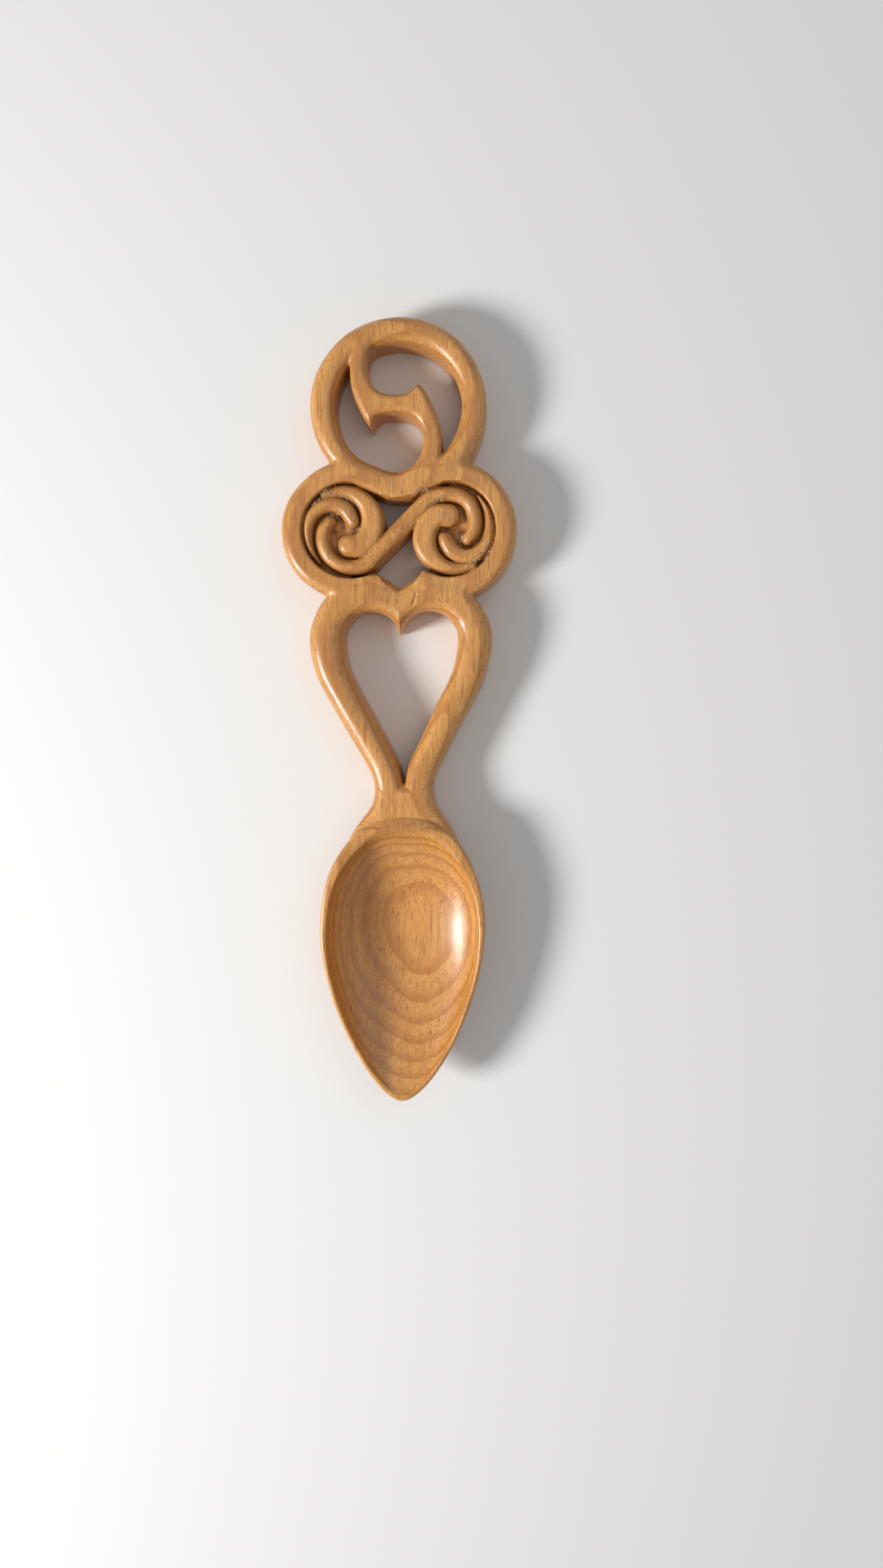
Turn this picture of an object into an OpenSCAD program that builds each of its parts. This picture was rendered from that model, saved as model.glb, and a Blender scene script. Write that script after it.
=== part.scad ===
// Welsh love spoon carved from one board: a ring with an S scroll, a panel of two spirals,
// an open heart, a neck and a pointed oval bowl. Each carved element is a solid of its own
// that meets its neighbours face to face. Y runs up the spoon, Z out of its front.

/* [Handle] */
// Thickness of the handle from its flat back to its front
handle_t = 12; // [9:0.5:14]
// Rounding of the handle's front edges
front_round = 2.4; // [1:0.1:2.8]
// Rounding of the handle's back edges
back_round = 0.8; // [0.3:0.1:1.2]

/* [Ring] */
// Outer radius of the ring
ring_r = 22.4; // [21:0.2:25]
// Width of the ring's band
ring_band = 6.2; // [5.4:0.2:7.5]
// Width of a scroll stem where it leaves the ring
stem_w = 4.4; // [3.6:0.2:5.2]
// Width of the scroll's bar at the middle of the ring
bar_w = 5.2; // [4:0.2:6]
// Distance from the ring's middle to the tip of each scroll thorn
thorn_r = 8.4; // [7:0.2:9.4]

/* [Panel] */
// Distance from the ring's middle down to the spirals' middles
ring_drop = 30.8; // [29.6:0.2:32]
// Outer radius of each lobe of the panel
lobe_r = 17.6; // [17:0.1:18.4]
// Width of a lobe's rim
lobe_band = 5.8; // [5.2:0.1:6.6]
// Distance between the middles of the two spirals
lobe_pitch = 25.4; // [24.4:0.2:26.4]
// Depth of the ground between the spiral arms, from the front
ground_depth = 5; // [3:0.5:7]
// Drop of the arms' crests below the front
arm_drop = 0.8; // [0.2:0.1:1.5]

/* [Heart] */
// Distance from the spirals' middles down to the middles of the heart's round tops
heart_drop = 27.5; // [26.6:0.1:28.6]
// Width of the heart's opening
heart_w = 29.6; // [26:0.2:32]
// Distance from the middles of the round tops down to the heart's point
heart_l = 35.3; // [30:0.5:42]
// Width of the band at the heart's shoulders
shoulder_band = 8.7; // [7.6:0.1:9.4]
// Width of each band at the heart's point
point_band = 7.2; // [6:0.2:8]

/* [Neck] */
// Length of the neck from the heart's point to the bowl
neck_l = 9.7; // [8:0.5:14]
// Width of the neck at its waist
neck_w = 14.6; // [13:0.2:16.4]
// Width of the neck's flare at the bowl's shoulders
flare_w = 27; // [24:0.5:29]
// Distance from the bowl's end down to where the flare meets its shoulders
shoulder_drop = 5.6; // [4:0.2:7]
// Length of the keel that runs from the flare under the bowl
keel_l = 15; // [12:0.5:20]
// Height of the keel's end over the surface that the bowl rests on
keel_lift = 0.8; // [0.4:0.1:1.5]
// Rounding of the keel's lower edges
keel_round = 4.5; // [3:0.25:6]

/* [Bowl] */
// Length of the bowl
bowl_l = 74.3; // [62:0.5:90]
// Width of the bowl
bowl_w = 42.8; // [38:0.2:50]
// Height of the rim over the surface that the bowl rests on
bowl_h = 14; // [12:0.5:18]
// Width of the rim's flat lip at the sides
lip = 1.7; // [1.2:0.1:2.6]
// Width of the lip at the bowl's tip
tip_lip = 2; // [1.4:0.1:3]
// Width of the lip at the neck
neck_lip = 3.4; // [2.4:0.1:5]
// Thickness of the wood under the deepest point
bowl_floor = 3; // [2:0.25:4]
// Depth by which the bottom is cut flat
foot_cut = 0.35; // [0.2:0.05:0.6]

/* [Hidden] */

wood = "#b5793f";
pale_wood = "#c68f52";
dark_wood = "#9c6532";

// Places along the spoon, measured from its middle
length = ring_r + ring_drop + heart_drop + heart_l + neck_l + bowl_l;
ring_y = length / 2 - ring_r;
panel_y = ring_y - ring_drop;
heart_y = panel_y - heart_drop;
point_y = heart_y - heart_l;
bowl_y = point_y - neck_l;
lobe_x = lobe_pitch / 2;

// Radii that follow from the bands
ring_mid = ring_r - ring_band / 2;
recess_r = lobe_r - lobe_band;
lobe_mid = lobe_r - lobe_band / 2;
top_r = heart_w / 4;
ground_z = handle_t - ground_depth;
arm_z = handle_t - arm_drop;

// Steps round a full ring, and between two points of a curved path
ring_steps = 48;
path_steps = 3;
arc_steps = 3;
// Overlap that lets cuts run clear of a face, and halves fuse
over = 0.02;
big = 2 * length;
smallest_half = 0.15;
// Height of the peak by which each length of a band reaches into the next
joint_peak = 0.15;
// Share of a band's half width that its rounding may take
full_round = 0.9;

// Where the lobe rims begin and end, as angles round a lobe
lobe_gap = norm([lobe_x, ring_drop]);
rim_start = atan2(ring_drop, lobe_x);
rim_end = 303;
seam_r = (lobe_gap + ring_mid - lobe_mid) / 2;

// Overlap of the crown's halves, and the rounding that leaves a crease between them
crease_lap = 0.35;
crease_round = 0.6;
// Angles round a heart top where its band gives way to the web, and where the crease's rounding begins
crown_turn = 60;
crease_turn = 120;

// Half the gap between the heart's sides at its point
point_apart = 0.2;

// Angle of a scroll thorn's tip round the ring's middle
thorn_turn = 217;

// Spiral arms as [angle, share of the recess radius, half width as a share of it]
outer_arm_path = [[124, 0.93, 0.08], [101, 0.85, 0.12], [80, 0.78, 0.155], [54, 0.68, 0.2],
    [24, 0.57, 0.24], [-13, 0.465, 0.245], [-52, 0.385, 0.24], [-88, 0.31, 0.235]];
middle_arm_path = [[-132, 0.95, 0.012], [-154, 0.92, 0.06], [-177, 0.895, 0.1], [161, 0.87, 0.13],
    [141, 0.79, 0.145], [121, 0.665, 0.15], [101, 0.475, 0.155], [82, 0.29, 0.145], [62, 0.2, 0.12]];
band_end_path = [[154, 0.45, 0.12], [179, 0.54, 0.145], [206, 0.62, 0.15], [230, 0.705, 0.145],
    [253, 0.755, 0.145], [276, 0.775, 0.15], [300, 0.795, 0.16], [320, 0.77, 0.175]];
band_mid = 0.185;
// Points of the band's end that lie on the ground of the recess
band_on_ground = 7;
// Middle of the disc of ground under a spiral, as a share of the recess radius
ground_disc = 0.62;

// Outline of half the bowl: where it is widest, and how full its curve is
bowl_swell = 1.402;
bowl_fullness = 0.422;
bowl_rows = 26;
bowl_sides = 12;

function polar(r, a) = [r * cos(a), r * sin(a)];
function turn_left(v) = [-v[1], v[0]] / norm(v);
function mix(a, b, t) = a + (b - a) * t;

// Cross-section of a band as [across, height] points, with its front and back edges rounded
function arc(cx, cz, r, a, steps) = [for (i = [0:steps]) [cx, cz] + polar(r, a + 90 * i / steps)];
function section(half, z0, z1, near_round, far_round, back, back_steps = 1) =
    let (w = max(half, smallest_half),
        near = min(near_round, w * full_round),
        far = min(far_round, w * full_round),
        low = min(back, w * 0.6))
    concat(arc(w - far, z1 - far, far, 0, arc_steps), arc(near - w, z1 - near, near, 90, arc_steps),
        arc(low - w, z0 + low, low, 180, back_steps), arc(w - low, z0 + low, low, 270, back_steps));
function place(s, at, across) = [for (p = s) [at[0] + across[0] * p[0], at[1] + across[1] * p[0], p[1]]];

// Smooth path through points of any size
function curve_point(a, b, c, d, t) =
    0.5 * (2 * b + (c - a) * t + (2 * a - 5 * b + 4 * c - d) * t * t + (3 * b - a - 3 * c + d) * t * t * t);
function smooth(p, steps) =
    let (n = len(p) - 1)
    concat([for (i = [0:n - 1]) for (j = [0:steps - 1])
        curve_point(p[max(i - 1, 0)], p[i], p[i + 1], p[min(i + 2, n)], j / steps)], [p[n]]);
function across(p, i) =
    let (n = len(p) - 1, a = p[max(i - 1, 0)], b = p[min(i + 1, n)])
    turn_left([b[0] - a[0], b[1] - a[1]]);

// Middle of a cross-section
function centre(s) = [for (k = [0:2]) min([for (p = s) p[k]]) + max([for (p = s) p[k]])] / 2;

// One length of a band between two cross-sections. A low peak on an end reaches into the next length.
module link(a, b, peak_a, peak_b) {
    n = len(a);
    way = (centre(b) - centre(a)) / norm(centre(b) - centre(a));
    hull()
        polyhedron(concat(a, b, [centre(a) - peak_a * way, centre(b) + peak_b * way]),
            [for (i = [0:n - 1]) let (j = (i + 1) % n)
                for (f = [[2 * n, i, j], [i, n + i, n + j], [i, n + j, j], [2 * n + 1, n + j, n + i]]) f]);
}

// Band through cross-sections
module links(s, closed = false) {
    last = len(s) - 2;
    for (i = [0:last])
        link(s[i], s[i + 1], closed || i > 0 ? joint_peak : 0, closed || i < last ? joint_peak : 0);
}

// Band along a path of [x, y, half width], between two heights
module band(p, z0, z1, edge = front_round, back = back_round) {
    links([for (i = [0:len(p) - 1])
        place(section(p[i][2], z0, z1, edge, edge, back), p[i], across(p, i))]);
}

// Points that carry a band on past its end, round a half circle
function round_end(p) =
    let (n = len(p) - 1, out = [p[n][0] - p[n - 1][0], p[n][1] - p[n - 1][1]], r = p[n][2])
    [for (a = [20:20:80]) concat([p[n][0], p[n][1]] + r * sin(a) * out / norm(out), [r * cos(a)])];

// Arc of a band round a middle, from one angle to another
module arc_band(middle, r, half, from, to, back = back_round) {
    n = ceil(abs(to - from) / 360 * ring_steps);
    links([for (i = [0:n])
        let (a = mix(from, to, i / n), out = polar(1, a))
        place(section(half, 0, handle_t, front_round, front_round, back), middle + r * out, out)],
        to - from == 360);
}

// Path of a spiral arm in the panel's left lobe
function arm_path(p) =
    smooth([for (q = p) concat([-lobe_x, panel_y] + polar(q[1] * recess_r, q[0]), [q[2] * recess_r])],
        path_steps);

// Half turn about a middle on the spoon's axis
module half_turn(y) {
    translate([0, 2 * y, 0])
        rotate([0, 0, 180])
            children();
}
module turn_over(turned) {
    if (turned)
        half_turn(panel_y) children();
    else
        children();
}

module ring_whole() {
    arc_band([0, ring_y], ring_mid, ring_band / 2, 0, 360);
}

// Space on the panel's side of the seam between the ring and the left lobe
module below_seam() {
    translate([0, ring_y, 0])
        rotate([0, 0, rim_start + 180])
            translate([seam_r, -big / 2, -over])
                cube([big, big, handle_t + 2 * over]);
}

module left_rim_cut() {
    intersection() {
        arc_band([-lobe_x, panel_y], lobe_mid, lobe_band / 2, rim_start, rim_end, over);
        below_seam();
    }
}

module ring() {
    color(wood)
        difference() {
            ring_whole();
            left_rim_cut();
            mirror([1, 0, 0]) left_rim_cut();
        }
}

// Left half of the scroll: a stem from the ring that bends into the bar, and a thorn
module scroll_half() {
    inner = ring_r - ring_band;
    stem = smooth([[-0.6 * inner, ring_y + 0.98 * inner, 0.61 * stem_w],
        [-0.625 * inner, ring_y + 0.68 * inner, 0.5 * stem_w],
        [-0.585 * inner, ring_y + 0.37 * inner, 0.52 * stem_w],
        [-0.42 * inner, ring_y + 0.12 * inner, bar_w / 2],
        [-0.19 * inner, ring_y + 0.02 * inner, bar_w / 2],
        [0, ring_y, bar_w / 2], [over, ring_y, bar_w / 2]], path_steps);
    tip = polar(thorn_r, thorn_turn);
    thorn = smooth([[-0.615 * inner, ring_y + 0.5 * inner, 0.48 * stem_w],
        [-0.585 * inner, ring_y + 0.28 * inner, 0.5 * stem_w],
        [-0.54 * inner, ring_y + 0.08 * inner, 0.45 * stem_w],
        [mix(-0.54 * inner, tip[0], 0.45), ring_y + 0.55 * tip[1], 0.25 * stem_w],
        [tip[0], ring_y + tip[1], smallest_half]], path_steps);
    difference() {
        union() {
            band(stem, 0, handle_t);
            band(thorn, 0, handle_t);
        }
        translate([0, ring_y - big / 2, -over])
            cube([big, big, handle_t + 2 * over]);
        ring_whole();
    }
}

module left_scroll() {
    color(pale_wood)
        scroll_half();
}

module right_scroll() {
    color(pale_wood)
        half_turn(ring_y)
            scroll_half();
}

// Half of the crown: a band round one of the heart's tops that widens into the panel
module crown_half() {
    top = [-top_r, heart_y];
    n = 18;
    links([for (i = [0:n])
        let (a = mix(180, 4, i / n),
            w = a >= crown_turn ? mix(top_r, shoulder_band, (a - crown_turn) / (180 - crown_turn)) + crease_lap
                : top_r * (1 / cos(a) - 1) + crease_lap,
            far = mix(crease_round, front_round, max(a - crease_turn, 0) / (180 - crease_turn)),
            out = polar(1, a))
        place(section(w / 2, 0, handle_t, front_round, far, over), top + (top_r + w / 2) * out, out)]);
}

module crown_whole() {
    difference() {
        union() {
            crown_half();
            mirror([1, 0, 0]) crown_half();
        }
        for (side = [-1, 1])
            translate([side * lobe_x, panel_y, -over])
                cylinder(r = lobe_mid, h = handle_t + 2 * over, $fn = 2 * ring_steps);
    }
}

module heart_crown() {
    color(wood)
        crown_whole();
}

module left_rim_shape() {
    difference() {
        left_rim_cut();
        crown_whole();
    }
}

module left_lobe_rim() {
    color(wood)
        left_rim_shape();
}

module right_lobe_rim() {
    color(wood)
        mirror([1, 0, 0]) left_rim_shape();
}

module band_shape() {
    ends = [for (q = band_end_path) concat([-lobe_x, panel_y] + polar(q[1] * recess_r, q[0]), [q[2] * recess_r])];
    turned = [for (i = [len(ends) - 1:-1:0]) [-ends[i][0], 2 * panel_y - ends[i][1], ends[i][2]]];
    whole = smooth(concat(ends, [[0, panel_y, band_mid * recess_r]], turned), path_steps);
    reversed = [for (i = [len(whole) - 1:-1:0]) whole[i]];
    start = round_end(reversed);
    band(concat([for (i = [len(start) - 1:-1:0]) start[i]], whole, round_end(whole)), 0, arm_z, recess_r);
}

// Everything round the spirals, which they are cut to
module panel_frame() {
    for (side = [0, 1])
        mirror([side, 0, 0]) left_rim_cut();
    ring_whole();
    crown_whole();
}

// Ground under the left spiral, or under the right one after a half turn
module ground_shape(turned) {
    foot = [for (i = [0:band_on_ground - 1]) band_end_path[i]];
    difference() {
        turn_over(turned)
        intersection() {
            translate([-lobe_x, panel_y, 0])
                cylinder(r = recess_r + lobe_band / 4, h = ground_z, $fn = 2 * ring_steps);
            union() {
                translate([-lobe_x - big, panel_y - big / 2, 0])
                    cube([big, big, ground_z]);
                translate([-lobe_x, panel_y, 0])
                    cylinder(r = ground_disc * recess_r, h = ground_z, $fn = ring_steps);
                band(arm_path(outer_arm_path), 0, arm_z, over, over);
                band(arm_path(foot), 0, arm_z, over, over);
            }
        }
        panel_frame();
    }
}

module left_ground() {
    color(dark_wood)
        ground_shape(false);
}

module right_ground() {
    color(dark_wood)
        ground_shape(true);
}

module spiral_band() {
    color(pale_wood)
        difference() {
            band_shape();
            panel_frame();
            ground_shape(false);
            ground_shape(true);
        }
}

module arm(path, turned) {
    p = arm_path(path);
    difference() {
        turn_over(turned)
            band(concat(p, round_end(p)), ground_z, arm_z, recess_r, over);
        panel_frame();
        band_shape();
    }
}

module left_outer_arm() {
    color(pale_wood)
        arm(outer_arm_path, false);
}

module right_outer_arm() {
    color(pale_wood)
        arm(outer_arm_path, true);
}

module left_middle_arm() {
    color(pale_wood)
        difference() {
            arm(middle_arm_path, false);
            arm(outer_arm_path, false);
        }
}

module right_middle_arm() {
    color(pale_wood)
        difference() {
            arm(middle_arm_path, true);
            arm(outer_arm_path, true);
        }
}

// Left side of the heart, from its shoulder down to its point
module heart_side() {
    shoulder_x = 2 * top_r + shoulder_band / 2;
    foot_x = point_band / 2 + point_apart;
    // Shares of the way from the shoulder to the point, sideways and down
    bends = [[0.08, 0.207], [0.264, 0.39], [0.62, 0.677], [0.85, 0.867], [1, 1], [1.08, 1.1]];
    path = concat([[-shoulder_x, heart_y + top_r / 2, shoulder_band / 2], [-shoulder_x, heart_y, shoulder_band / 2]],
        [for (b = bends) [-mix(shoulder_x, foot_x, b[0]), heart_y - b[1] * heart_l,
            mix(shoulder_band, point_band, min(b[1], 1)) / 2]]);
    intersection() {
        band(smooth(path, path_steps), 0, handle_t);
        translate([-big, point_y, -over])
            cube([big, heart_l, handle_t + 2 * over]);
    }
}

module left_heart_side() {
    color(wood)
        heart_side();
}

module right_heart_side() {
    color(wood)
        mirror([1, 0, 0]) heart_side();
}

// Fullness of the bowl at a share of the way from its tip to the neck
function swell(s, e) = pow(max(sin(180 * pow(s, bowl_swell)), 0), e);

// Rows of points across a hollow, from one rim to the other
function hollow(y0, l, w, d, z, e, bend, low) =
    [for (i = [1:bowl_rows - 1])
        let (s = (1 - cos(180 * i / bowl_rows)) / 2, half = w / 2 * swell(s, bowl_fullness),
            deep = d * swell(s, e))
        [for (j = [0:bowl_sides])
            let (a = 180 * j / bowl_sides)
            [-half * cos(a), y0 + l * s, max(z - deep * pow(sin(a), bend), low)]]];

outer_rows = hollow(bowl_y - bowl_l, bowl_l, bowl_w, bowl_h + foot_cut, bowl_h, 0.45, 0.85, 0);
inner_rows = hollow(bowl_y - bowl_l + tip_lip, bowl_l - tip_lip - neck_lip, bowl_w - 2 * lip,
    bowl_h - bowl_floor, bowl_h, 0.6, 0.8, 0);

// Points of a hollow's rows with a pole at each end
function shell_points(rows, y0, y1) = concat([[0, y0, bowl_h]], [for (r = rows) each r], [[0, y1, bowl_h]]);
function row_point(i, j) = i == 0 ? 0 : i == bowl_rows ? 1 + (bowl_rows - 1) * (bowl_sides + 1)
    : 1 + (i - 1) * (bowl_sides + 1) + j;
function shell_faces(k, flip) =
    [for (i = [0:bowl_rows - 1]) for (j = [0:bowl_sides - 1])
        let (a = row_point(i, j), b = row_point(i, j + 1), c = row_point(i + 1, j + 1), d = row_point(i + 1, j))
        for (t = i == 0 ? [[a, d, c]] : i == bowl_rows - 1 ? [[a, c, b]] : [[a, c, b], [a, d, c]])
            flip ? [k + t[0], k + t[2], k + t[1]] : [k + t[0], k + t[1], k + t[2]]];

// Faces of a strip between the rims of two shells, or straight across one
function strip(k, j0, j1, flip) =
    [for (i = [0:bowl_rows - 1])
        let (a = row_point(i, j0), b = row_point(i + 1, j0), c = k + row_point(i + 1, j1), d = k + row_point(i, j1))
        for (t = k == 0 && i == 0 ? [[a, b, c]] : k == 0 && i == bowl_rows - 1 ? [[a, b, d]]
            : [[a, b, c], [a, c, d]])
            flip ? [t[0], t[2], t[1]] : t];

module bowl_block() {
    polyhedron(shell_points(outer_rows, bowl_y - bowl_l, bowl_y),
        concat(shell_faces(0, true), strip(0, 0, bowl_sides, false)));
}

module bowl() {
    outer = shell_points(outer_rows, bowl_y - bowl_l, bowl_y);
    inner = shell_points(inner_rows, bowl_y - bowl_l + tip_lip, bowl_y - neck_lip);
    color(wood)
        polyhedron(concat(outer, inner), concat(shell_faces(0, true), shell_faces(len(outer), false),
            strip(len(outer), 0, 0, false), strip(len(outer), bowl_sides, bowl_sides, true)));
}

module neck() {
    flare_y = bowl_y - shoulder_drop;
    // Shares of the way from the heart's point to the flare's end, and of the spread from waist to flare
    spread = [[0, 0], [0.26, 0], [0.39, 0.05], [0.52, 0.21], [0.65, 0.44], [0.78, 0.7], [0.9, 0.9], [1, 1]];
    keel = [[0.25, 0.75], [0.5, 0.5], [0.75, 0.26], [1, 0.08]];
    sides = concat([for (p = spread) [mix(point_y, flare_y, p[0]), mix(neck_w, flare_w, p[1]) / 2, 0,
            mix(back_round, keel_round, p[0])]],
        [for (p = keel) [flare_y - p[0] * keel_l, p[1] * flare_w / 2, p[0] * keel_lift, keel_round]]);
    color(wood)
        difference() {
            links([for (p = sides)
                place(section(p[1], p[2], handle_t, front_round, front_round, p[3], 2), [0, p[0]], [1, 0])]);
            bowl_block();
        }
}

ring();
left_scroll();
right_scroll();
left_lobe_rim();
right_lobe_rim();
left_ground();
right_ground();
spiral_band();
left_outer_arm();
right_outer_arm();
left_middle_arm();
right_middle_arm();
heart_crown();
left_heart_side();
right_heart_side();
neck();
bowl();
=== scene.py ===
"""Welsh love spoon: the carved surface, the oiled cherry wood and a plain studio round it."""
import math

import bpy
import numpy as np
import openvdb as vdb
from mathutils import Matrix, Vector


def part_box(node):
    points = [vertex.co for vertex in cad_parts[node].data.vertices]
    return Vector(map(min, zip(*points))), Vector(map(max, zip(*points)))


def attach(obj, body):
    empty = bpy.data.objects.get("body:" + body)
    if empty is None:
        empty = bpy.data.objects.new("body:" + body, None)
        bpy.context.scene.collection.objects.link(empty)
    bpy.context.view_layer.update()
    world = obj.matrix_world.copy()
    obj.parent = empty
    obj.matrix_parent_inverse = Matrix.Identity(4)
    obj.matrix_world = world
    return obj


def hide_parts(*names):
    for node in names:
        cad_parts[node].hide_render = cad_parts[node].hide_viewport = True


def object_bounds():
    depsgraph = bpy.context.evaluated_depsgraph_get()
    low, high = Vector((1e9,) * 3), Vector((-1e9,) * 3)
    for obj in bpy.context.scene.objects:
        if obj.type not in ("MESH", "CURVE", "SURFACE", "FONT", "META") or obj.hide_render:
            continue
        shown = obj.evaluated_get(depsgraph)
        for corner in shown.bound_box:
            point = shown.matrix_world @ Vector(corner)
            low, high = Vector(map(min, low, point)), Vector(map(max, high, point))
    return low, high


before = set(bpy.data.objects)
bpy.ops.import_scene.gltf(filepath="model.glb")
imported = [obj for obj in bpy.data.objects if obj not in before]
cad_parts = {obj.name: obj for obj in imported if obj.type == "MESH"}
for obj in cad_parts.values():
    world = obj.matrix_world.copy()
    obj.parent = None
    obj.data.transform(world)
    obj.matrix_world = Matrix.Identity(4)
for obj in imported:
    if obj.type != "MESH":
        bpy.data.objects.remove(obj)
CAD_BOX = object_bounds()

bl_info = {
    "name": "Welsh love spoon",
    "version": (1, 0, 0),
    "blender": (4, 5, 0),
    "location": "3D View > Sidebar > Love Spoon",
    "description": "Carves a love spoon from one board and finishes it in oiled wood",
    "category": "Object",
}

# Places and sizes in millimetres: X across, Y up the handle, Z out of the front.
MM = 0.001
HANDLE_T = 12.0
RING_Y = 77.6
PANEL_Y = 46.8
HEART_Y = 19.3
POINT_Y = -16.0
BOWL_Y = -25.7
TIP_Y = -100.0
LOBE_X = 12.7
TOP_R = 7.4
SHOULDER = 8.7
BACK_ROUND = 0.8
# How deep the seams with the ring and the crown lie in a lobe's rim
RIM_SEAM = 2.9
# Open part of a lobe's rim in degrees: its middle, from the way inwards, and half of it
OPEN_MIDDLE = 5.3
OPEN_HALF = 62.3
# Share of the recess that its inner ground fills, and the ground's skin under the arms
GROUND_SHARE = 0.62
GROUND_SKIN = 0.45
# The bowl's plan: how blunt its ends are, and how far its widest place lies from the tip
BLUNTNESS = 0.422
WIDEST = 1.402
# Where the rim, low beside the neck, starts to rise to its full height
RIM_RISE_Y = -28.6
# Part of a bowl's form, from the tip, past which its end is blunt
BLUNT_FROM = 0.86
# Fillets where the carvings meet
SCROLL_FILLET = 0.9
RIM_FILLET = 1.4
HEART_FILLET = 1.2
ARM_FILLET = 0.3
GROUND_FILLET = 0.5
RECESS_FILLET = 0.7
# The recess's cut under the ground, and the edge and depth of the left lobe's lower cut
UNDERCUT = 0.6
LOW_CUT_Y = 35.2
LOW_CUT_DEPTH = 3.2

# The spoon's sides and their pieces' names
SIDES = (-1, 1)
SIDE_NAMES = {-1: "left_", 0: "", 1: "right_"}

# Distance past which a band has no say in the surface, and what its field reads there
FAR = 8.0
NOT_NEAR = 20.0
NO_WOOD = 50.0
# Lowest and highest Y between which each carving has a say
HAS_SAY = {
    "scroll": (50, 200), "rims": (26, 68), "heart": (-200, 40), "recess": (30, 200), "crease": (14, 34),
    "handle": (-48, 200), "spirals": (28, 66), "bowl": (-200, -18), "keel": (-50, -14),
}


# Drawn lines. Arms are rows of angle, share of the recess's radius, and half width as a share of it.
OUTER_ARM = [
    [124, 0.93, 0.08], [101, 0.85, 0.12], [80, 0.78, 0.155], [54, 0.68, 0.2], [24, 0.57, 0.24],
    [-13, 0.465, 0.245], [-52, 0.385, 0.24], [-88, 0.31, 0.235],
]
MIDDLE_ARM = [
    [-132, 0.95, 0.012], [-154, 0.92, 0.06], [-177, 0.895, 0.1], [161, 0.87, 0.13], [141, 0.79, 0.145],
    [121, 0.665, 0.15], [101, 0.475, 0.155], [82, 0.29, 0.145], [62, 0.2, 0.12],
]
BAND_END = [
    [154, 0.45, 0.12], [179, 0.54, 0.145], [206, 0.62, 0.15], [230, 0.705, 0.145], [253, 0.755, 0.145],
    [276, 0.775, 0.15], [300, 0.795, 0.16], [320, 0.77, 0.175],
]
# Outline of the S scroll in four runs: down to a thorn's tip, back to the ring, and the same again
SCROLL = [
    [[-5.9, 95.6], [-6.7, 92.8], [-7.5, 91.2], [-7.9, 89.1], [-7.8, 86.8], [-7.2, 84.5], [-5.9, 82.4],
     [-4, 81.1], [-1.5, 80.6], [0.9, 80.6], [2.8, 81.1], [3.9, 82.1], [5.3, 83.1]],
    [[5.3, 83.1], [6.7, 81.7], [7.7, 79.9], [8.9, 77.5], [10, 74.9], [10.7, 72.3], [11.05, 69.5],
     [10.95, 66.8], [9.6, 59.5]],
    [[-1.6, 58.6], [1.5, 61.6], [3.2, 62.7], [4.6, 64.2], [5.7, 66.1], [6.2, 68.5], [6.2, 71],
     [5.35, 73.3], [3.75, 75], [1.65, 75.9], [-1, 76.15], [-3.7, 75.95], [-5.3, 75.3], [-6.3, 74.2],
     [-6.9, 72.7]],
    [[-6.9, 72.7], [-8.2, 74.3], [-9.55, 76.7], [-10.85, 79.8], [-11.7, 83.1], [-12, 86.5], [-12, 89.3],
     [-11.6, 91.6], [-10.9, 94.5]],
]
# Bends of the heart's side, as shares of the way in to its foot and down to its point
HEART_BENDS = [[0.08, 0.207], [0.264, 0.39], [0.62, 0.677], [0.85, 0.867]]
# The neck's flare and the keel under the bowl: Y, half width, back rounding, height of the back
FLARE = [
    [-16, 7.3, 0.8, 0], [-19.5, 7.3, 1.8, 0], [-22, 7.7, 2.6, 0.2], [-24.5, 9, 3.2, 0.8],
    [-27, 10.8, 3.6, 2.2], [-29.5, 12.6, 3.8, 4.3], [-32, 14, 3.8, 6.6], [-34.5, 14.9, 2.6, 8.6],
    [-37, 14.9, 1.5, 10],
]
KEEL = [
    [-16, 7.3, 0.8, 0], [-20, 7.3, 1.8, 0], [-24, 7.5, 3.4, 0], [-28, 7.4, 4.3, 0], [-32, 6.6, 4.5, 0],
    [-36, 5.4, 4.5, 0.15], [-40, 3.9, 3.6, 0.35], [-44, 2, 1.9, 0.7], [-46.3, 1, 0.9, 0.9],
]
# The next four are rows of X, Y and half width. Foot of the heart's left side, where it meets the neck
SIDE_FOOT = [[-4.7, -14.5, 3.7], [-3.85, -17.6, 3.65], [-3.54, -20.1, 3.74], [-3.6, -22.5, 4.1]]
# Lower edge of the ring over the opening in the panel
WEB = [[-3, 56.6, 1.2], [0.5, 56.25, 1.2], [3.3, 56.1, 1.15]]
# The crown's two top edges beside the notch
CROWN_TOP = [[[-7.3, 35.2, 1.5], [-5.9, 34.3, 1.5], [-3.4, 32.7, 1.6], [-1.3, 30.7, 1.5]],
             [[0.8, 30.6, 1.5], [4.3, 32.9, 1.65], [8, 35, 1.5], [9.4, 35.7, 1.5]]]
# Shallow knife cut in the crown, to the right of its middle
CREASE = [[0.7, 19.5, 0], [1.6, 23.5, 0], [3.3, 27.5, 0], [4.3, 30.5, 0]]
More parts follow.
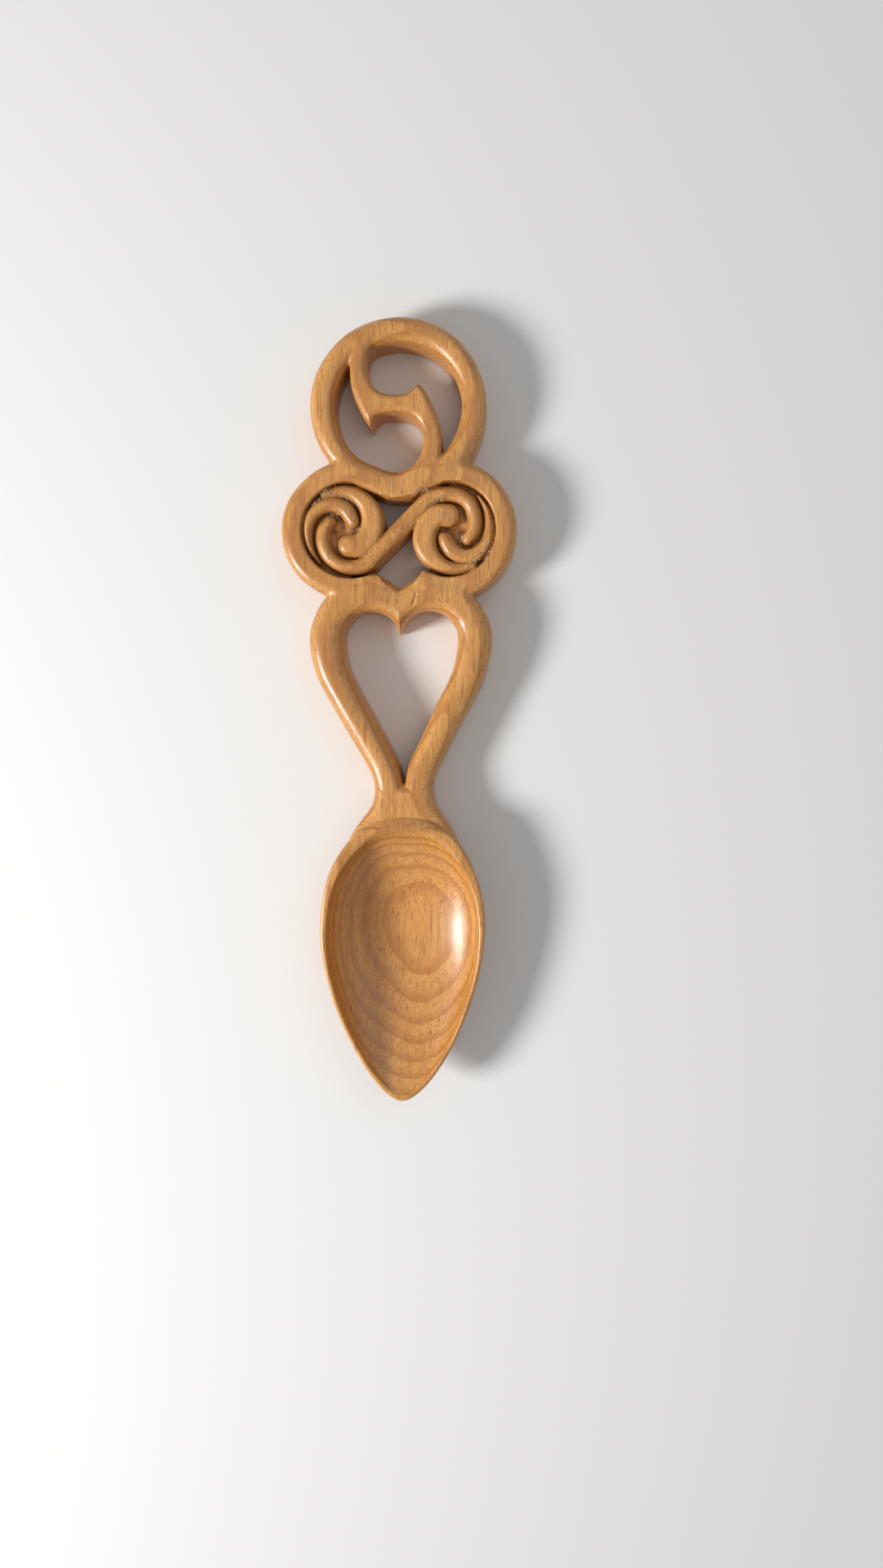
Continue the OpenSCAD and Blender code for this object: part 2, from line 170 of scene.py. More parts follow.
# Places along the gouged edges where the knife tore the fibres
TORN = [
    [[-22.3, 53], [-21.1, 53.9], [-19.9, 55.2], [-18.6, 56.6]],
    [[-19.2, 57], [-18.1, 56.2], [-16.2, 55.6]], [[-14.6, 55.6], [-12.2, 54.2], [-10.7, 51.5]],
    [[-20.4, 49.1], [-18.7, 50.6], [-15.5, 51.3]], [[-13.6, 46.4], [-10.3, 47.2]],
    [[-10.3, 40.1], [-8.3, 41.1]], [[3.4, 55.4], [5, 56.6], [7.3, 57]],
    [[6.6, 51.6], [9, 54], [10.9, 55]], [[9.5, 50.6], [13.8, 49.1]], [[14.8, 45.7], [16.2, 44.5]],
    [[16.7, 37.5], [19.6, 39.6], [22.2, 43.3]], [[17.8, 36.6], [21.4, 38.9], [23.4, 41.6]],
]
# How far the hand-cut axis stands off a straight line: places along Y, and X there
AXIS = ([-100, -80, -50, -33, -20, 0, 20, 47, 78, 101],
        [0.1, 0.3, 0.35, 0.75, 0.75, 0.3, -0.2, -0.35, -0.4, -0.4])


# Curves and fields. A field is the distance to a surface: below zero inside the wood.

def smooth_path(points, steps=6):
    """Even curve through points, each row being a place and any sizes that change along it."""
    p = np.array(points, float)
    p = np.vstack([2 * p[0] - p[1], p, 2 * p[-1] - p[-2]])
    rows = []
    for a, b, c, d in zip(p[:-3], p[1:-2], p[2:-1], p[3:]):
        for t in np.arange(steps) / steps:
            rows.append(0.5 * (2 * b + (c - a) * t + (2 * a - 5 * b + 4 * c - d) * t ** 2
                               + (3 * b - a - 3 * c + d) * t ** 3))
    rows.append(p[-2])
    return np.array(rows)


def chain(x, y, path):
    """Plan distance to a band whose path rows are x, y and half width."""
    best = np.full(np.broadcast(x, y).shape, NOT_NEAR)
    low = y.min() - FAR
    high = y.max() + FAR
    for a, b in zip(path[:-1], path[1:]):
        if max(a[1], b[1]) < low or min(a[1], b[1]) > high:
            continue
        run = b[:2] - a[:2]
        t = ((x - a[0]) * run[0] + (y - a[1]) * run[1]) / max(run @ run, 1e-9)
        t = np.clip(t, 0, 1)
        d = np.hypot(x - a[0] - t * run[0], y - a[1] - t * run[1]) - a[2] - t * (b[2] - a[2])
        best = np.minimum(best, d)
    return best


def closed(x, y, path):
    """Plan distance to a closed outline."""
    d = chain(x, y, path)
    inside = np.zeros(d.shape, bool)
    for a, b in zip(path[:-1], path[1:]):
        if min(a[1], b[1]) < y.max() and max(a[1], b[1]) > y.min():
            crossing = a[0] + (y - a[1]) * (b[0] - a[0]) / (b[1] - a[1])
            inside ^= ((a[1] > y) != (b[1] > y)) & (x < crossing)
    return np.where(inside, -d, d)


def blend(a, b, k):
    """Union of two fields with a fillet of about k where they meet."""
    h = np.clip(0.5 + 0.5 * (b - a) / k, 0, 1)
    return b + (a - b) * h - k * h * (1 - h)


def carve(a, b, k):
    """What is left of field a outside field b, with the edge softened by k."""
    return -blend(-a, b, k)


def edge(a, b, r):
    """Intersection of two fields with its edge rounded to radius r."""
    u = a + r
    v = b + r
    return np.minimum(np.maximum(u, v), 0) + np.hypot(np.maximum(u, 0), np.maximum(v, 0)) - r


def board(d, z, front, back=BACK_ROUND, top=HANDLE_T, bottom=0.0):
    """Board with plan distance d, its front and back edges rounded."""
    return np.maximum(edge(d, z - top, front), edge(d, bottom - z, back))


def no_wood(*places):
    """Field of places that are far from all wood."""
    return np.full(np.broadcast(*places).shape, NO_WOOD)


def has_say(carving, y):
    """Whether a carving matters to places with these Y."""
    low, high = HAS_SAY[carving]
    return y.max() > low and y.min() < high


def from_ring(x, y):
    """Distance from the ring's middle."""
    return np.hypot(x, y - RING_Y)


def from_lobe(x, y, side):
    """Distance from the middle of one of the panel's lobes."""
    return np.hypot(x - side * LOBE_X, y - PANEL_Y)


def from_top(x, y, side):
    """Distance from the middle of one of the heart's round tops."""
    return np.hypot(x - side * TOP_R, y - HEART_Y)


def crown_width(turn):
    """Width of the crown's band, turn degrees round a top: it widens from 60 degrees on."""
    return TOP_R + (SHOULDER - TOP_R) * np.clip((turn - 60) / 120, 0, 1)


def both_paths(rows, s):
    """Path of an arm of the left spiral, and the same turned by half a turn, for the right one."""
    r = s.recess_radius
    placed = []
    for angle, out, half in rows:
        a = math.radians(angle)
        placed.append([-LOBE_X + out * r * math.cos(a), PANEL_Y + out * r * math.sin(a), half * r])
    left = smooth_path(placed, 5)
    right = left * [-1, 1, 1]
    right[:, 1] = 2 * PANEL_Y - left[:, 1]
    return left, right


def scroll_outline():
    """Closed outline of the S scroll, with no width of its own."""
    line = np.vstack([smooth_path(run, 4) for run in SCROLL])
    line = np.column_stack([line, np.zeros(len(line))])
    return np.vstack([line, line[:1]])


def heart_side_path(s):
    """Path of the heart's left side, from the crown's arc down to its foot in the neck."""
    foot_x = s.point_band / 2 + 0.2
    side_x = 2 * TOP_R + SHOULDER / 2
    rows = []
    for up in (50, 25, 0):
        a = math.radians(up)
        half = crown_width(180 - up) / 2
        rows.append([-TOP_R - (TOP_R + half) * math.cos(a), HEART_Y + (TOP_R + half) * math.sin(a), half])
    for across, down in HEART_BENDS:
        width = SHOULDER + (s.point_band - SHOULDER) * down
        rows.append([-side_x + (side_x - foot_x) * across, HEART_Y - down * (HEART_Y - POINT_Y), width / 2])
    return smooth_path(rows + SIDE_FOOT)


def with_slope(rows):
    """Rows made smooth, in rising Y, with the slope of their half width as one more column."""
    p = smooth_path(rows, 8)[::-1]
    return np.column_stack([p, np.gradient(p[:, 1], p[:, 0])])


def swell(s, power):
    """How full a pointed oval is at s, from 0 at its tip to 1: 1 at its widest place."""
    return np.maximum(np.sin(np.pi * np.clip(s, 1e-4, 1 - 1e-4) ** WIDEST), 1e-6) ** power


class Oval:
    """A pointed oval form that hangs from its rim: the bowl's outside or its inside.

    Its powers keel and section say how full it is along the middle and across."""

    def __init__(self, tip, span, width, depth, top, keel, section):
        self.tip, self.span, self.width = tip, span, width
        self.depth, self.top = depth, top
        self.keel, self.section = keel, section
        s = 0.5 - 0.5 * np.cos(np.linspace(0, np.pi, 40))
        half = width / 2 * swell(s, BLUNTNESS)
        half[[0, -1]] = 0
        self.path = np.column_stack([half, tip + span * s, 0 * s])

    def half_width(self, y):
        """Place along the form, from 0 at its tip to 1, and its half width there."""
        s = (y - self.tip) / self.span
        return s, self.width / 2 * swell(s, BLUNTNESS)

    def plan(self, x, y):
        """Plan distance to the outline."""
        d = chain(np.abs(x), y, self.path)
        return np.where(np.abs(x) < np.interp(y, self.path[:, 1], self.path[:, 0], 0, 0), -d, d)

    def gauge(self, x, y, z):
        """Share of the way from the rim's middle to the surface, less one."""
        s, half = self.half_width(y)
        c = x / half
        down = np.maximum(self.top - z, 0) / (self.depth * swell(s, self.keel))
        return np.sqrt(c ** 2 + down ** (2 / self.section)) - 1

    def bottom(self, x, y):
        """Height of the surface over a place."""
        s, half = self.half_width(y)
        c = x / half
        return self.top - self.depth * swell(s, self.keel) * np.maximum(1 - c ** 2, 0) ** (self.section / 2)

    def __call__(self, x, y, z, e=0.02):
        """Field of the form: the gauge as a distance, or at the blunt end the plan distance."""
        plan = self.plan(x, y)
        low = self.bottom(x, y)
        steep = np.hypot(self.bottom(x + e, y) - low, self.bottom(x, y + e) - low) / e
        under = (low - z) / np.sqrt(1 + steep ** 2)
        blunt = np.clip(((y - self.tip) / self.span - BLUNT_FROM) / 0.1, 0, 1)
        beyond = 0.22 * np.maximum(self.top - z, 0) ** 1.6 * blunt
        g = self.gauge(x, y, z)
        gx = self.gauge(x + e, y, z) - g
        gy = self.gauge(x, y + e, z) - g
        gz = self.gauge(x, y, z - e) - g
        f = g * e / np.maximum(np.sqrt(gx ** 2 + gy ** 2 + gz ** 2), 1e-9)
        inside = np.maximum(np.maximum(f, plan), under)
        return np.where(plan < 0, inside, np.maximum(plan, f * (1 - blunt)) + beyond)


class Carving:
    """The whole spoon as one field."""

    def __init__(self, s):
        self.s = s
        self.scroll = scroll_outline()
        self.web = smooth_path(WEB)
        self.crease = smooth_path(CREASE)
        self.crown_top = [smooth_path(rows, 4) for rows in CROWN_TOP]
        self.heart_side = heart_side_path(s)
        self.flare = with_slope(FLARE)
        self.keel = with_slope(KEEL)
        self.outer_arms = both_paths(OUTER_ARM, s)
        self.middle_arms = both_paths(MIDDLE_ARM, s)
        ends = both_paths(BAND_END, s)
        middle = [[0, PANEL_Y, 0.185 * s.recess_radius]]
        self.band = smooth_path(np.vstack([ends[0][::5], middle, ends[1][::-5]]), 5)
        self.feet = [e[:-5] for e in ends]
        span = BOWL_Y - TIP_Y
        self.outside = Oval(TIP_Y, span, s.bowl_width, s.bowl_height + 0.35, s.bowl_height, 0.45, 0.85)
        self.inside = Oval(TIP_Y + 2.0, span - 6.4, s.bowl_width - 2 * s.lip, s.bowl_height - s.bowl_floor,
                           s.bowl_height, 0.6, 0.8)

    def lean(self, x, y):
        """Hand carving: the axis wanders a little, and so do the knife's long cuts."""
        s = self.s
        x = x - np.interp(y, *AXIS) * s.lean
        dx = np.sin(y / 6.1 + 0.7) + 0.6 * np.sin(y / 2.9 + x / 7.0)
        dy = np.sin(x / 5.3 + 1.9) + 0.6 * np.sin(x / 2.7 + y / 6.0 + 0.4)
        return x + s.wander * dx, y + s.wander * dy

    def rim(self, x, y, z, side):
        """Rim of one lobe, open towards the panel's middle and under the ring."""
        s = self.s
        rho = from_lobe(x, y, side)
        turn = np.arctan2(y - PANEL_Y, side * x - LOBE_X)
        away = np.abs((180 - np.degrees(turn) - OPEN_MIDDLE + 180) % 360 - 180)
        past_ring = from_ring(x, y) - s.ring_mid - s.ring_band / 2
        gap = np.minimum(rho * np.radians(OPEN_HALF - away), past_ring)
        outer = edge(rho - s.lobe_radius, z - HANDLE_T, s.front_round)
        inner = edge(s.recess_radius - rho, z - HANDLE_T, s.recess_round)
        back = np.maximum(edge(rho - s.lobe_radius, -z, BACK_ROUND), -z)
        return np.maximum(np.maximum(outer, inner), np.maximum(back, gap))

    def crown_plan(self, x, y):
        """Plan of the heart's two round tops and the wood up to the panel."""
        outs = []
        holes = []
        for side in SIDES:
            rho = from_top(x, y, side)
            turn = 180 - np.degrees(np.arctan2(y - HEART_Y, side * (x - side * TOP_R)))
            outs.append(rho - TOP_R - crown_width(turn))
            holes.append(TOP_R - rho)
        d = blend(*outs, 0.4)
        d = blend(d, np.minimum(*[chain(x, y, rows) for rows in self.crown_top]), 0.6)
        return np.maximum(np.maximum(d, HEART_Y - y), np.maximum(*holes))

    def widening(self, x, y, rows, top):
        """Plan distance to a band along Y whose half width changes, and its back's rounding and height."""
        half, slope, back, lift = [np.interp(y, rows[:, 0], rows[:, k]) for k in (1, 4, 2, 3)]
        d = (np.abs(x) - half) / np.sqrt(1 + slope ** 2)
        return np.maximum(d, np.maximum(y - POINT_Y + top, rows[0, 0] - y)), back, lift

    def heart_and_neck(self, x, y, z):
        """The heart's crown and sides, the neck, and the keel under the bowl."""
        s = self.s
        neck, back, lift = self.widening(x, y, self.flare, 2.2)
        sides = np.minimum(chain(x, y, self.heart_side), chain(-x, y, self.heart_side))
        plan = np.minimum(self.crown_plan(x, y), blend(sides, neck, 1.0))
        front = s.front_round * np.interp(y, [-24, -12, 24, 31], [1.0, 1.5, 1.5, 1.0])
        f = board(plan, z, front, back, HANDLE_T, lift)
        if not has_say("keel", y):
            return f
        keel, back, lift = self.widening(x, y, self.keel, 1.5)
        fillet = np.interp(y, [-28, -20], [2.0, 0.02])
        return blend(f, board(keel, z, front, back, HANDLE_T, lift), fillet)

    def join_bowl(self, f, x, y, z):
        """Joins the bowl to the wood of field f and hollows it. Its rim slopes down to the neck."""
        s = self.s
        shell = carve(self.outside(x, y, z), z, 0.5)
        away = np.maximum(-self.outside.plan(x, y), 0)
        slope = z - HANDLE_T - 0.3 - 0.8 * away - 0.9 * np.maximum(RIM_RISE_Y - y, 0)
        shell = edge(shell, edge(z - s.bowl_height, 0.77 * slope, 0.7), 0.9)
        f = blend(f, shell, np.clip(0.4 + (10 - z) * 0.35, 0.4, 3.0))
        soft = 0.8 + 1.4 * np.clip((y + 38) / 7, 0, 1)
        return carve(f, self.inside(x, y, z), soft)

    def handle(self, x, y, z):
        """Ring, scroll, rims, heart and neck, without the arms and the ground."""
        s = self.s
        f = no_wood(x, y, z)
        if has_say("scroll", y):
            rho = from_ring(x, y)
            d = np.minimum(np.abs(rho - s.ring_mid) - s.ring_band / 2, chain(x, y, self.web))
            f = np.minimum(f, board(d, z, s.ring_round))
            d = np.maximum(closed(x, y, self.scroll), rho - s.ring_mid)
            f = blend(f, board(d, z, s.scroll_round), SCROLL_FILLET)
        if has_say("rims", y):
            for side in SIDES:
                f = blend(f, self.rim(x, y, z, side), RIM_FILLET)
        if has_say("heart", y):
            f = blend(f, self.heart_and_neck(x, y, z), HEART_FILLET)
        if has_say("recess", y):
            f = self.cut_recess(f, x, y, z)
        if has_say("crease", y):
            groove = np.hypot(chain(x, y, self.crease), z - HANDLE_T - 0.1)
            f = carve(f, groove - 0.4, 0.25)
        return f

    def cut_recess(self, f, x, y, z):
        """Keeps the ring's and the crown's fillets out of the sunk rounds of the panel."""
        s = self.s
        floor = self.ground_top(x, y) - UNDERCUT
        within_ring = s.ring_mid + s.ring_band / 2 - from_ring(x, y)
        for side in SIDES:
            hole = edge(from_lobe(x, y, side) - s.recess_radius, floor - z, 0.4)
            f = carve(f, np.maximum(hole, within_ring), RECESS_FILLET)
        d = np.maximum(LOW_CUT_Y + 0.06 * (x + LOBE_X) - y, -LOBE_X - x)
        d = np.maximum(d, from_lobe(x, y, -1) - s.recess_radius - 2.6)
        d = np.maximum(d, y - PANEL_Y + 6)
        floor = floor - LOW_CUT_DEPTH * np.clip(x + 8, 0, 3)
        return carve(f, edge(d, floor - z, 0.3), RECESS_FILLET)

    def ground_top(self, x, y):
        """Height of the sunk ground, with the gouge's marks."""
        marks = np.sin(x * 1.9 + y * 0.8) + np.sin(y * 2.3 - x * 0.9 + 1.0)
        return self.s.ground_height + self.s.tool_marks * marks

    def ground_plan(self, x, y, side):
        """Plan of the ground under one spiral."""
        k = SIDES.index(side)
        rho = from_lobe(x, y, side)
        d = np.minimum(-side * (x - side * LOBE_X), rho - GROUND_SHARE * self.s.recess_radius)
        return np.minimum(d, np.minimum(chain(x, y, self.outer_arms[k]), chain(x, y, self.feet[k])))

    def ground(self, x, y, z):
        """The sunk ground of both spirals."""
        d = no_wood(x, y)
        for side in SIDES:
            past_recess = from_lobe(x, y, side) - self.s.recess_radius - 1.5
            d = np.minimum(d, np.maximum(self.ground_plan(x, y, side), past_recess))
        return board(d, z, 0.3, BACK_ROUND, self.ground_top(x, y))

    def arms_plan(self, x, y):
        """Plan fields of the outer arms, the middle arms and the band between the spirals."""
        return [chain(x, y, path) for path in (*self.outer_arms, *self.middle_arms, self.band)]

    def spirals(self, x, y, z):
        """The arms on their ground, and the band, which goes right through the board."""
        s = self.s
        *arms, band = [d - s.arm_spread for d in self.arms_plan(x, y)]
        arms = board(np.minimum.reduce(arms), z, s.arm_round, 0.3, s.arm_height, s.ground_height - 1.5)
        return np.minimum(arms, board(band, z, s.arm_round + 0.3, BACK_ROUND, s.arm_height))

    def __call__(self, x, y, z):
        """The whole spoon's field at points, or over plan columns and heights."""
        x, y = self.lean(x, y)
        waves = np.sin(x / 4.1 + y / 5.7) + np.sin(y / 3.7 - x / 6.3) - 2
        z = z - self.s.wander * 0.5 * waves * np.clip((z - 3) / 6, 0, 1)
        f = no_wood(x, y, z)
        if has_say("handle", y):
            f = self.handle(x, y, z)
        if has_say("spirals", y):
            f = blend(f, self.spirals(x, y, z), ARM_FILLET)
            f = blend(f, self.ground(x, y, z), GROUND_FILLET)
        if has_say("bowl", y):
            f = self.join_bowl(f, x, y, z)
        return f


# Each element in the order of cutting, and its sides. The spiral band is what is left.
CUT_ORDER = (("bowl", (0,)), ("neck", (0,)), ("heart_side", SIDES), ("scroll", SIDES), ("ring", (0,)),
             ("heart_crown", (0,)), ("lobe_rim", SIDES), ("ground", SIDES), ("outer_arm", SIDES),
             ("middle_arm", SIDES))


class Cuts:
    """Fields of the space that each element takes on one side of the spoon."""

    def __init__(self, carving):
        self.carving = carving
        self.s = carving.s

    def field(self, element, side):
        """The element's field, over columns and heights."""
        cut = getattr(self, element)
        return lambda x, y, z: cut(x, y, z, side) + 0 * z

    def bowl(self, x, y, z, side):
        s, half = self.carving.outside.half_width(y)
        ends = np.abs(y - (TIP_Y + BOWL_Y) / 2) - 37.4
        return np.where((s > 0) & (s < 1), np.abs(x) - half - 0.35, ends)

    def neck(self, x, y, z, side):
        return y - POINT_Y

    def heart_side(self, x, y, z, side):
        return np.maximum(y - HEART_Y, -side * x)

    def scroll(self, x, y, z, side):
        return np.maximum(from_ring(x, y) - self.s.ring_mid + self.s.ring_band / 2 + 0.15, -side * x)

    def ring(self, x, y, z, side):
        reach = math.hypot(LOBE_X, RING_Y - PANEL_Y)
        seam = (reach + self.s.ring_mid - self.s.lobe_radius + RIM_SEAM) / 2
        turn = math.degrees(math.atan2(RING_Y - PANEL_Y, LOBE_X))
        d = from_ring(x, y) - self.s.ring_mid - self.s.ring_band / 2 - 0.25
        for towards in (180 + turn, -turn):
            a = math.radians(towards)
            d = np.maximum(d, x * math.cos(a) + (y - RING_Y) * math.sin(a) - seam)
        return d

    def heart_crown(self, x, y, z, side):
        tops = np.minimum(*[from_top(x, y, top) - TOP_R - SHOULDER - 0.5 for top in SIDES])
        lobes = np.maximum(*[self.s.lobe_radius - RIM_SEAM - from_lobe(x, y, lobe) for lobe in SIDES])
        return np.maximum(tops, lobes)

    def lobe_rim(self, x, y, z, side):
        inside = np.maximum(np.abs(x) - LOBE_X, np.abs(y - PANEL_Y) - 5.5)
        for lobe in SIDES:
            inside = np.minimum(inside, from_lobe(x, y, lobe) - self.s.recess_radius - 0.2)
        return np.maximum(-inside, -side * x)

    def ground(self, x, y, z, side):
        d = np.maximum(self.carving.ground_plan(x, y, side) - 0.5, -side * x)
        return np.maximum(d, z - self.s.ground_height - GROUND_SKIN)

    def arm(self, x, y, z, which):
        """Space over the ground that is nearer to one arm than to the others."""
        fields = self.carving.arms_plan(x, y)
        others = [f for i, f in enumerate(fields) if i != which]
        nearest = (fields[which] - np.minimum.reduce(others)) / 2
        return np.maximum(nearest, self.s.ground_height + GROUND_SKIN - z)

    def outer_arm(self, x, y, z, side):
        return self.arm(x, y, z, SIDES.index(side))

    def middle_arm(self, x, y, z, side):
        return self.arm(x, y, z, len(SIDES) + SIDES.index(side))


# From fields to meshes

LOW = np.array([-32.0, -101.5, -1.5])
HIGH = np.array([32.0, 101.5, 15.5])
CUT_STEP = 0.6
CUT_MARGIN = 8
# Where the slabs end in which points are worked on
SLABS = np.arange(-104, 105, 8)
# Most that a field reads in the grid, and how many values are filled at a time
GRID_BAND = 3.0
GRID_CHUNK = 1.5e6
# How far outside the surface hollows are felt for, and how far inside it edges are
HOLLOW_REACH = 1.6
EDGE_REACH = 0.9


def mesh_field(field, step, low=LOW, high=HIGH):
    """Closed mesh of a field's zero surface: points in millimetres and faces."""
    n = np.ceil((high - low) / step).astype(int) + 1
    xs, ys, zs = [low[i] + step * np.arange(n[i]) for i in range(3)]
    values = np.empty(n, np.float32)
    rows = max(1, int(GRID_CHUNK / (n[0] * n[2])))
    for j in range(0, n[1], rows):
        x, y = np.meshgrid(xs, ys[j:j + rows], indexing="ij")
        f = field(x.reshape(-1, 1), y.reshape(-1, 1), zs.reshape(1, -1))
        values[:, j:j + rows, :] = f.reshape(n[0], -1, n[2])
    values = np.clip(values, -GRID_BAND, GRID_BAND)
    for axis in range(3):
        ends = np.moveaxis(values, axis, 0)
        ends[[0, -1]] = np.maximum(ends[[0, -1]], step)
    grid = vdb.FloatGrid(GRID_BAND)
    grid.copyFromArray(values)
    points, triangles, quads = grid.convertToPolygons(isovalue=0.0, adaptivity=0.0)
    return points * step + low, quads.tolist() + triangles.tolist()


def gradient(field, p, e=0.03):
    """The field and its slope at points."""
    x, y, z = (p[:, i:i + 1] for i in range(3))
    f = field(x, y, z)
    return f, np.hstack([field(x + e, y, z) - f, field(x, y + e, z) - f, field(x, y, z + e) - f]) / e


def by_slabs(work, p):
    """Runs work on points a slab of the spoon at a time, so that far carvings cost nothing."""
    order = np.argsort(p[:, 1], kind="stable")
    ends = np.searchsorted(p[order, 1], SLABS)
    done = np.vstack([work(p[order[a:b]]) for a, b in zip(ends[:-1], ends[1:]) if a < b])
    out = np.empty(done.shape)
    out[order] = done
    return out


def seat(field, p):
    """Steps that bring points onto the field's surface."""
    def work(q):
        f, g = gradient(field, q)
        step = np.clip(f / np.maximum((g ** 2).sum(1, keepdims=True), 0.2), -0.15, 0.15)
        return q - g * step
    return by_slabs(work, p)


def surface_marks(q):
    """Normals at points on the spoon, and how deep in a hollow and how near an edge each one lies."""
    slope = gradient(Blank.carving, q)[1]
    n = slope / np.maximum(np.linalg.norm(slope, axis=1, keepdims=True), 1e-6)
    marks = [n]
    for reach in (HOLLOW_REACH, -EDGE_REACH):
        r = q + n * reach
        f = Blank.carving(r[:, 0:1], r[:, 1:2], r[:, 2:3])
        marks.append(np.clip(1 - f / reach, 0, 1))
    return np.hstack(marks)


def add_object(name, data):
    """Object in the scene, at the origin."""
    obj = bpy.data.objects.new(name, data)
    bpy.context.scene.collection.objects.link(obj)
    return obj


def mesh_object(name, points, faces, edges=()):
    """Object from points in millimetres."""
    mesh = bpy.data.meshes.new(name)
    mesh.from_pydata((points * MM).tolist(), list(edges), faces)
    mesh.update()
    return add_object(name, mesh)


def evaluated_mesh(obj):
    """Plain mesh of an object with its modifiers applied."""
    return bpy.data.meshes.new_from_object(obj.evaluated_get(bpy.context.evaluated_depsgraph_get()))


def boolean(obj, cutter, operation):
    """New mesh of obj cut by cutter."""
    m = obj.modifiers.new("cut", "BOOLEAN")
    m.operation = operation
    m.solver = "MANIFOLD"
    m.object = cutter
    result = evaluated_mesh(obj)
    obj.modifiers.remove(m)
    return result


class Sizes:
    """The settings, with distances in millimetres."""

    def __init__(self, settings):
        for key in SpoonSettings.__annotations__:
            value = getattr(settings, key)
            distance = settings.bl_rna.properties[key].subtype == "DISTANCE"
            setattr(self, key, value / MM if distance else value)
        self.ring_mid = self.ring_radius - self.ring_band / 2


class Blank:
    """The carved spoon before its pieces are parted, and the pieces once they are."""
    carving = None
    meshes = {}


def carve_blank(settings):
    """Carves the whole spoon once and parts it into one closed mesh for each piece."""
    if Blank.meshes:
        return
    carving = Carving(Sizes(settings))
    Blank.carving = carving
    step = carving.s.grain_step
    points, faces = mesh_field(carving, step)
    box = [np.array(corner) / MM for corner in CAD_BOX]
    rest = mesh_object("rest", np.clip(seat(carving, points), *box), faces)
    cuts = Cuts(carving)
    for element, sides in CUT_ORDER:
        for side in sides:
            name = SIDE_NAMES[side] + element
            low, high = [np.array(corner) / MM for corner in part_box(name)]
            low = np.maximum(low - CUT_MARGIN, LOW)
            high = np.minimum(high + CUT_MARGIN, HIGH)
            low[2] = LOW[2]
            high[2] = HIGH[2]
            cutter = mesh_object("cutter", *mesh_field(cuts.field(element, side), CUT_STEP, low, high))
            Blank.meshes[name] = boolean(rest, cutter, "INTERSECT")
            rest.data = boolean(rest, cutter, "DIFFERENCE")
            bpy.data.objects.remove(cutter)
    Blank.meshes["spiral_band"] = rest.data
    bpy.data.objects.remove(rest)


def finish_piece(name, materials):
    """Shades a parted mesh from the field, marks its hollows and edges, and hands it to the frame."""
    mesh = Blank.meshes[name]
    mesh.name = name + "_carved"
    if not len(mesh.polygons):
        raise RuntimeError(f"{name} came out empty")
    co = np.empty(len(mesh.vertices) * 3)
    mesh.vertices.foreach_get("co", co)
    marks = by_slabs(surface_marks, co.reshape(-1, 3) / MM)
    for i, key in enumerate(("hollow", "edge")):
        a = mesh.attributes.new(key, "FLOAT", "POINT")
        a.data.foreach_set("value", marks[:, 3 + i].astype(np.float32))
    mesh.shade_smooth()
    mesh.normals_split_custom_set_from_vertices(marks[:, :3].tolist())
    slot = SLOTS.get(name.split("_")[-1], "handle_wood")
    mesh.materials.clear()
    mesh.materials.append(materials[slot])
    mesh.polygons.foreach_set("material_index", np.zeros(len(mesh.polygons), np.int32))
    obj = add_object(mesh.name, mesh)
    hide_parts(name)
    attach(obj, "root")


# Materials

# Material slot of a piece by the last word of its name, where it isn't the handle's
SLOTS = {"bowl": "bowl_wood", "ground": "groove_wood", "arm": "arm_wood", "band": "arm_wood"}
# Roughness of each slot's wood, and how much painted shade darkens its hollows
FINISH_AND_HOLLOW_SHADE = {"handle_wood": (0.33, 0.4), "arm_wood": (0.36, 0.4), "groove_wood": (0.52, 0.6),
            "bowl_wood": (0.31, 0.15)}
# Noise in the wood: detail, place, and scale across, along and through the board
NOISES = {
    "drift": (1.0, (0.3, 0.1, 0.7), (38, 13.3, 38)),
    "ripple": (2.0, (1, 2, 3), (150, 37.5, 150)),
    "streak": (3.0, (5, 1, 2), (5200, 190, 5200)),
    "broad": (2.0, (2, 8, 1), (900, 40, 900)),
    "fibre": (2.0, (7, 2, 5), (2300, 75, 2300)),
    "cloud": (2.0, (9, 3, 4), (60, 22, 60)),
    "fleck": (1.0, (4, 4, 9), (2600, 330, 2600)),
}
# Thickness of a year's growth
YEAR = 0.00185
TORN_COLOUR = (0.80, 0.66, 0.44)
BUMP_HEIGHT = 0.00006


class Sock:
    """A node socket that adds Math nodes when it is used in an expression."""

    def __init__(self, tree, socket):
        self.tree = tree
        self.socket = socket

    def maths(self, operation, *values):
        return self.tree.node("ShaderNodeMath", {"operation": operation}, *values)

    def __add__(self, other):
        return self.maths("ADD", self, other)

    __radd__ = __add__

    def __sub__(self, other):
        return self.maths("SUBTRACT", self, other)

    def __rsub__(self, other):
        return self.maths("SUBTRACT", other, self)

    def __mul__(self, other):
        return self.maths("MULTIPLY", self, other)

    __rmul__ = __mul__

    def __truediv__(self, other):
        return self.maths("DIVIDE", self, other)

    def __rtruediv__(self, other):
        return self.maths("DIVIDE", other, self)


